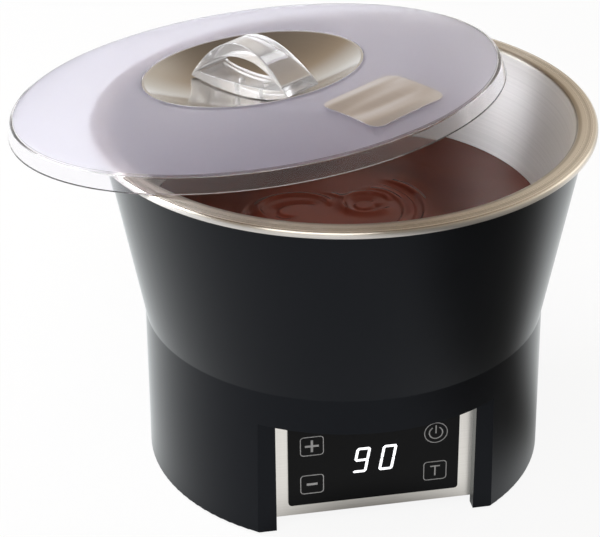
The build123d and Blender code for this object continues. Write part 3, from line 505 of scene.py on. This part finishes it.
digits = bmesh.new()
numeral(digits, tens_left, ("top", "high_left", "high_right", "middle", "low_right", "bottom"))
numeral(digits, units_left, ("top", "high_left", "high_right", "low_left", "low_right", "bottom"))
lay_film(digits, light_film)
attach(made("lit_digits", digits, finish("white_light", white_light)), "casing")


# Bowl: stainless sheet, spun to a flared pan with a wide flange and a rolled lip, brushed round and
# round. It hangs in the well by its flange. Its profile is in millimetres.
bowl_floor, floor_radius, mouth_radius, rim_radius, rim_height = 120.0, 117.37, 146.4, 160.0, 240.0
corner_round, mouth_bend, lip_bend, lip_drop, bowl_sheet = 14.0, 3.0, 2.2, 3.4, 1.2
wall_slope = (mouth_radius - floor_radius) / (rim_height - bowl_floor)
bowl_steps, weld = 240, 0.01 * mm
flange_low, flange_high = 238.0 * mm, 239.6 * mm
bend_inner, bend_outer = 147.0 * mm, 148.2 * mm


def smooth(mesh):
    for face in mesh.faces:
        face.smooth = True


def turned(profile, rounds, steps):
    """A mesh spun about the upright axis from (radius, height) points, with rounded corners."""
    mesh = bmesh.new()
    places = [Vector((r, 0, z)) * mm for r, z in profile]
    chain = [mesh.verts.new(place) for place in places]
    for pair in zip(chain, chain[1:]):
        mesh.edges.new(pair)
    corners = zip(chain[1:], places, places[1:], places[2:], rounds)
    for corner, before, here, after, radius in corners:
        setback = radius * mm * tan((here - before).angle(after - here) / 2)
        bmesh.ops.bevel(mesh, geom=[corner], offset=setback, offset_type="OFFSET",
                        affect="VERTICES", segments=corner_segments, profile=0.5, material=-1)
    bmesh.ops.spin(mesh, geom=mesh.verts[:] + mesh.edges[:], cent=(0, 0, 0), axis=(0, 0, 1),
                   angle=2 * pi, steps=steps, use_merge=True)
    bmesh.ops.remove_doubles(mesh, verts=mesh.verts[:], dist=weld)
    bmesh.ops.recalc_face_normals(mesh, faces=mesh.faces[:])
    smooth(mesh)
    return mesh


def brushed_bowl(place):
    profile = spun_profile(place)
    lines = profile.speckle(850.0, 3.0)
    bands = profile.speckle(230.0, 1.0)
    cloud = place.speckle(16.0, 2.0)
    flange = place.axis("Z").step(flange_low, flange_high)
    # A thin ring along the flange's inner edge, at the mouth's bend, is darkened: a painted dark
    # reflection.
    painted_dark_ring = flange * (1 - from_axis(place).step(bend_inner, bend_outer))
    wall = (0.7 * lines + 0.3 * cloud).tint((0.66, 0.635, 0.6, 1), (0.92, 0.895, 0.86, 1))
    streaks = 0.4 * lines.step(0.3, 0.7) + 0.6 * bands.step(0.35, 0.65)
    ledge = streaks.tint((0.34, 0.3, 0.24, 1), (0.98, 0.92, 0.83, 1))
    return place.shade({
        "Base Color": painted_dark_ring.tint(flange.tint(wall, ledge), (0.2, 0.18, 0.15, 1)),
        "Metallic": 1.0,
        "Roughness": 0.46 + 0.12 * lines - 0.24 * flange,
        "Anisotropic": 0.95,
        "Anisotropic Rotation": 0.25,
        "Normal": (bands * (0.4 + flange)).bump(0.6, 0.12 * mm),
    })


pan = turned([(0, bowl_floor), (floor_radius, bowl_floor), (mouth_radius, rim_height),
              (rim_radius, rim_height), (rim_radius, rim_height - lip_drop)],
             (corner_round, mouth_bend, lip_bend), bowl_steps)
floor_face = min(pan.faces, key=lambda face: face.calc_center_median().length)
if floor_face.normal.z < 0:
    bmesh.ops.reverse_faces(pan, faces=pan.faces[:])
bmesh.ops.solidify(pan, geom=pan.faces[:], thickness=bowl_sheet * mm)
smooth(pan)
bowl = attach(made("steel_bowl", pan, finish("bowl_steel", brushed_bowl)), "bowl")
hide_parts("bowl")


# Melted chocolate: a glossy dark pool that fills the bowl's lower half, with the soft ridges and
# loops that stirring leaves on it. Its profile and marks are in millimetres and degrees.
pool_level, pool_gap, pool_rings, pool_steps = 171.3, 0.25, 150, 300
cling_rise, cling_width, calm_edge, slack = 0.5, 0.8, 12.0, 0.1
middle_inner, middle_outer, middle_ragged = 55.0 * mm, 85.0 * mm, 30.0 * mm
inner_slope, outer_slope, mark_fade = 0.55, 2.0, 25.0
stir_marks = (
    # centre, half axes, start and end, height, width
    (-31, 9, 23, 17, -10, 215, 1.9, 2.0),
    (-29, 6, 14, 9, 30, 260, -1.3, 1.8),
    (16.5, 6, 15.5, 14, 0, 330, 1.9, 1.9),
    (15, 5, 7.5, 6.5, 30, 360, -1.4, 2.0),
    (6, -3, 33, 33, -80, 70, 1.8, 1.8),
    (5, 0, 48, 48, -60, 55, 1.9, 1.8),
    (7, 0, 41, 41, -75, 62, -1.2, 2.0),
    (-6, -10, 62, 60, 140, 330, 1.2, 2.6),
    (-4, -12, 45, 40, 170, 300, 1.4, 2.2),
    (0, 6, 86, 82, 20, 170, 0.5, 5.0),
    (2, -4, 78, 72, 190, 345, 0.8, 3.4),
    (-30, 6, 34, 26, -30, 60, 1.2, 1.8),
)


def stirred(x, y):
    lift = 0.0
    for cx, cy, rx, ry, start, end, height, width in stir_marks:
        angle = degrees(atan2((y - cy) / ry, (x - cx) / rx))
        span = (angle - start) % 360
        reach = min(1.0, span / mark_fade, (end - start - span) / mark_fade)
        if reach > 0:
            away = (hypot((x - cx) / rx, (y - cy) / ry) - 1) * (rx + ry) / 2
            spread = width * (inner_slope if away < 0 else outer_slope)
            lift += reach * height * exp(-((away / spread) ** 2))
    return lift


def melted_chocolate(place):
    swirl = place.speckle(22.0, 3.0)
    ragged = from_axis(place) + middle_ragged * swirl
    # The pool's colour is paler in the middle and darker towards the bowl's wall, with a random
    # swirl.
    paler_middle = 1 - ragged.step(middle_inner, middle_outer)
    mixed = 0.3 * swirl + 0.7 * paler_middle
    return place.shade({
        "Base Color": mixed.tint((0.072, 0.016, 0.009, 1), (0.22, 0.052, 0.031, 1)),
        "Roughness": 0.04 + 0.06 * swirl,
        "Specular IOR Level": 0.35,
        "Specular Tint": (1.0, 0.66, 0.54, 1),
    })


pool_edge = floor_radius + (pool_level - bowl_floor) * wall_slope - pool_gap
pool_foot = bowl_floor + pool_gap
pool = turned([(0, pool_foot), (floor_radius - pool_gap, pool_foot),
               (pool_edge, pool_level + cling_rise)]
              + [((pool_edge - cling_width) * (1 - k / pool_rings), pool_level)
                 for k in range(pool_rings + 1)],
              (corner_round,), pool_steps)
for vert in pool.verts:
    away = vert.co.xy.length / mm
    if vert.co.z / mm > pool_level - slack and away < pool_edge - cling_width - slack:
        fade = min(1.0, (pool_edge - away) / calm_edge)
        vert.co.z += fade * stirred(vert.co.x / mm, vert.co.y / mm) * mm
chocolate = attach(made("melted_chocolate", pool, finish("chocolate_dark", melted_chocolate)),
                    "bowl")
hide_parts("chocolate_fill")


# Lid shell: one thin clear plastic moulding, frosted over its domed top and left glossy on its
# skirt. It lies askew on the rim, so its finish is set out in its own tilted frame.
lid_middle = Vector((-47.909, 50.486, 234.309)) * mm
lid_tilt, lid_lean, handle_turn = radians(8.1606), radians(133.5), radians(-189.6)
lid_downhill = Vector((cos(lid_lean), sin(lid_lean), 0))
lid_level = Vector((-sin(lid_lean), cos(lid_lean), 0))
lid_up = sin(lid_tilt) * lid_downhill + cos(lid_tilt) * Vector((0, 0, 1))
lid_slope = cos(lid_tilt) * lid_downhill - sin(lid_tilt) * Vector((0, 0, 1))
lid_along = cos(handle_turn) * lid_slope + sin(handle_turn) * lid_level
lid_across = lid_up.cross(lid_along)
lid_turn = Matrix((lid_along, lid_across, lid_up)).transposed().to_euler()
frost_edge, frost_fade = 157.9 * mm, 0.5 * mm


def on_lid(place):
    return place.add("ShaderNodeMapping", {"vector_type": "TEXTURE"},
                     {"Vector": place, "Location": lid_middle, "Rotation": lid_turn})


def frosted_top(place):
    frost = place.speckle(9.0, 2.0)
    skirt = from_axis(on_lid(place)).step(frost_edge - frost_fade, frost_edge + frost_fade)
    cloud = place.shade({
        "Base Color": frost.tint((0.77, 0.75, 0.98, 1), (0.83, 0.815, 1.0, 1)),
        "Roughness": 0.45,
    })
    blur = place.shade({
        "Base Color": (0.965, 0.96, 1.0, 1),
        "Roughness": 0.48 + 0.04 * frost,
        "IOR": 1.2,
        "Transmission Weight": 1.0,
    })
    haze = place.add("ShaderNodeMixShader", {}, {"Fac": 0.11 + 0.05 * frost, 1: blur, 2: cloud})
    clear = place.shade({
        "Base Color": (0.97, 0.96, 0.985, 1),
        "Roughness": 0.03 + 0.03 * frost,
        "IOR": 1.4,
        "Transmission Weight": 0.975,
    })
    return place.add("ShaderNodeMixShader", {}, {"Fac": skirt, 1: haze, 2: clear})


finish("lid_frosted", frosted_top)


# Lid dish: a shallow dish of polished steel, let into the middle of the lid and held there by the
# handle's screws. Fine polishing rings run round it.
def polished_dish(place):
    away = from_axis(on_lid(place))
    rings = place.add("ShaderNodeCombineXYZ", {}, {"X": away}).speckle(1400.0, 2.0)
    return place.shade({
        "Base Color": rings.tint((0.6, 0.58, 0.555, 1), (0.7, 0.68, 0.655, 1)),
        "Metallic": 1.0,
        "Roughness": 0.11 + 0.06 * rings,
    })


finish("dish_steel", polished_dish)


# Lid handle: a clear acrylic bow with an eye for the fingers, its top polished and its two flat
# sides left a little hazy by the saw. It is screwed down through the dish.
side_from, side_to = 0.3, 0.8


def clear_acrylic(place):
    touch = place.speckle(60.0, 3.0)
    outward = place.add("ShaderNodeTexCoord", {}, {}, "Normal")
    sideways = place.add("ShaderNodeVectorMath", {"operation": "DOT_PRODUCT"},
                         {0: outward, 1: lid_across}, "Value")
    polished = place.shade({
        "Base Color": touch.tint((0.95, 0.945, 0.97, 1), (0.98, 0.98, 0.99, 1)),
        "Roughness": 0.02 + 0.04 * touch,
        "IOR": 1.49,
        "Transmission Weight": 0.86,
    })
    sawn = place.shade({
        "Base Color": touch.tint((0.94, 0.935, 0.955, 1), (0.98, 0.98, 0.985, 1)),
        "Roughness": 0.14 + 0.08 * touch,
        "IOR": 1.49,
        "Transmission Weight": 0.8,
    })
    on_side = (sideways * sideways).step(side_from, side_to)
    return place.add("ShaderNodeMixShader", {}, {"Fac": on_side, 1: polished, 2: sawn})


finish("handle_clear", clear_acrylic)


# Lid label: a square of satin foil with rounded corners, stuck on the dome and left blank. The foil
# is finely brushed and does not lie quite flat.
def satin_foil(place):
    lid = on_lid(place)
    grain = lid.stretch((60.0, 1600.0, 60.0)).speckle(1.0, 3.0)
    ripple = lid.stretch((42.0, 9.0, 9.0)).speckle(1.0, 1.0)
    return place.shade({
        "Base Color": grain.tint((0.86, 0.845, 0.89, 1), (0.96, 0.95, 0.99, 1)),
        "Metallic": 1.0,
        "Roughness": 0.26 + 0.1 * grain,
        "Normal": ripple.bump(1.0, 6.5 * mm),
    })


finish("label_foil", satin_foil)


# Floor: a wide sheet of plain white paper that the melter stands on, with its soft shadow on it. It
# shows white to the eye, through the lid and in reflections, where a painted shadow dims the ground
# right under the melter and a patch to its right and front.
floor_half, paper_glow = 8.0, 0.9
ground_inner, ground_outer = 0.1, 0.15
shadow_left, shadow_right, shadow_front, shadow_back = 0.08, 0.18, -0.06, 0.05


def white_paper(place):
    fibre = place.speckle(40.0, 4.0)
    paper = place.shade({
        "Base Color": fibre.tint((0.84, 0.84, 0.84, 1), (0.88, 0.88, 0.88, 1)),
        "Roughness": 0.9,
    })
    mirrored = place.add("ShaderNodeLightPath", {}, {}, "Is Glossy Ray")
    shown = (place.add("ShaderNodeLightPath", {}, {}, "Is Camera Ray")
             + place.add("ShaderNodeLightPath", {}, {}, "Is Transmission Ray")).step(0.0, 1.0)
    open_ground = from_axis(place).step(ground_inner, ground_outer)
    # Painted shadow, seen only in reflections: dark under the melter and to its front right.
    painted_shadow = (place.axis("X").step(shadow_left, shadow_right)
              * (1 - place.axis("Y").step(shadow_front, shadow_back)))
    painted_dimming = mirrored * (1 - open_ground * (1 - painted_shadow))
    glow = place.add("ShaderNodeEmission", {},
                     {"Color": painted_dimming.tint((1, 1, 1, 1), (0.1, 0.096, 0.09, 1)), "Strength": 1.0})
    return place.add("ShaderNodeMixShader", {},
                     {"Fac": paper_glow * shown + mirrored, 1: paper, 2: glow})


sheet = bmesh.new()
bmesh.ops.create_grid(sheet, x_segments=2, y_segments=2, size=floor_half)
made("floor", sheet, finish("white_paper", white_paper))


# Light: a pale room, white at the skyline and on the left, tan higher up behind the melter and dim
# behind the camera. A soft key lamp hangs over the camera, a tall cool one stands high at the back
# left and a weak warm one at the right.
def pale_room(place):
    skyline = place.add("ShaderNodeValToRGB", {"stops": [
        (0.0, (0.94, 0.94, 0.94, 1)),
        (0.12, (0.78, 0.75, 0.71, 1)),
        (0.26, (0.64, 0.59, 0.53, 1)),
        (0.42, (0.42, 0.33, 0.24, 1)),
        (0.62, (0.3, 0.235, 0.175, 1)),
        (1.0, (0.14, 0.12, 0.1, 1)),
    ]}, {"Fac": place.axis("Z")})
    low = 1 - place.axis("Z").step(0.45, 0.95)
    right_wall = low * place.axis("X").step(0.18, 0.5)
    left_wall = low * (-1 * place.axis("X")).step(0.45, 0.85)
    near_wall = (-1 * place.axis("Y")).step(0.1, 0.85)
    room = right_wall.tint(skyline, (0.78, 0.73, 0.65, 1))
    room = left_wall.tint(room, (0.95, 0.96, 1.0, 1))
    room = near_wall.tint(room, (0.34, 0.32, 0.3, 1))
    seen = place.add("ShaderNodeLightPath", {}, {}, "Is Camera Ray")
    return place.add("ShaderNodeBackground", {},
                     {"Color": seen.tint(room, (1, 1, 1, 1)), "Strength": 1.0})


world = bpy.data.worlds.new("pale_room")
world.use_nodes = True
world.node_tree.nodes.clear()
around = Signal(world.node_tree).add("ShaderNodeTexCoord", {}, {}, "Generated")
around.add("ShaderNodeOutputWorld", {}, {"Surface": pale_room(around)})
bpy.context.scene.world = world


def soft_lamp(name, place, target, size, power, colour):
    light = bpy.data.lights.new(name, "AREA")
    light.shape, light.size, light.size_y = "RECTANGLE", size[0], size[1]
    light.energy, light.color = power, colour
    lamp = bpy.data.objects.new(name, light)
    aim = (Vector(target) - Vector(place)).to_track_quat("-Z", "Y")
    lamp.matrix_world = Matrix.Translation(place) @ aim.to_matrix().to_4x4()
    bpy.context.scene.collection.objects.link(lamp)


soft_lamp("lamp_key", place=(-0.5, -0.9, 2.0), target=(0, 0, 0.1), size=(1.2, 1.2),
          power=14.0, colour=(1.0, 0.985, 0.97))
soft_lamp("lamp_left", place=(-1.42, 0.7, 1.25), target=(0, 0, 0.2), size=(0.9, 1.5),
          power=33.0, colour=(0.95, 0.975, 1.0))
soft_lamp("lamp_right", place=(1.7, 0.5, 0.9), target=(0, 0, 0.15), size=(1.0, 1.2),
          power=3.0, colour=(1.0, 0.96, 0.91))


# Camera: a long lens from the front, a little to the left and looking down on the rim. It stands
# about 1.4 m from the base, and its three directions are given in the part's frame.
view = bpy.data.cameras.new("camera")
view.lens, view.sensor_width, view.sensor_fit = 119.986, 36.0, "HORIZONTAL"
camera_place = Vector((-0.226524, -1.128397, 0.776005))
right = Vector((0.9841, -0.17738, -0.00887))
up = Vector((0.09466, 0.48164, 0.87124))
ahead = Vector((0.15027, 0.85823, -0.49077))
camera = bpy.data.objects.new("camera", view)
camera.matrix_world = (Matrix.Translation(camera_place)
                       @ Matrix((right, up, -ahead)).transposed().to_4x4())
bpy.context.scene.collection.objects.link(camera)
bpy.context.scene.camera = camera
bpy.context.scene.view_settings.view_transform = "Standard"
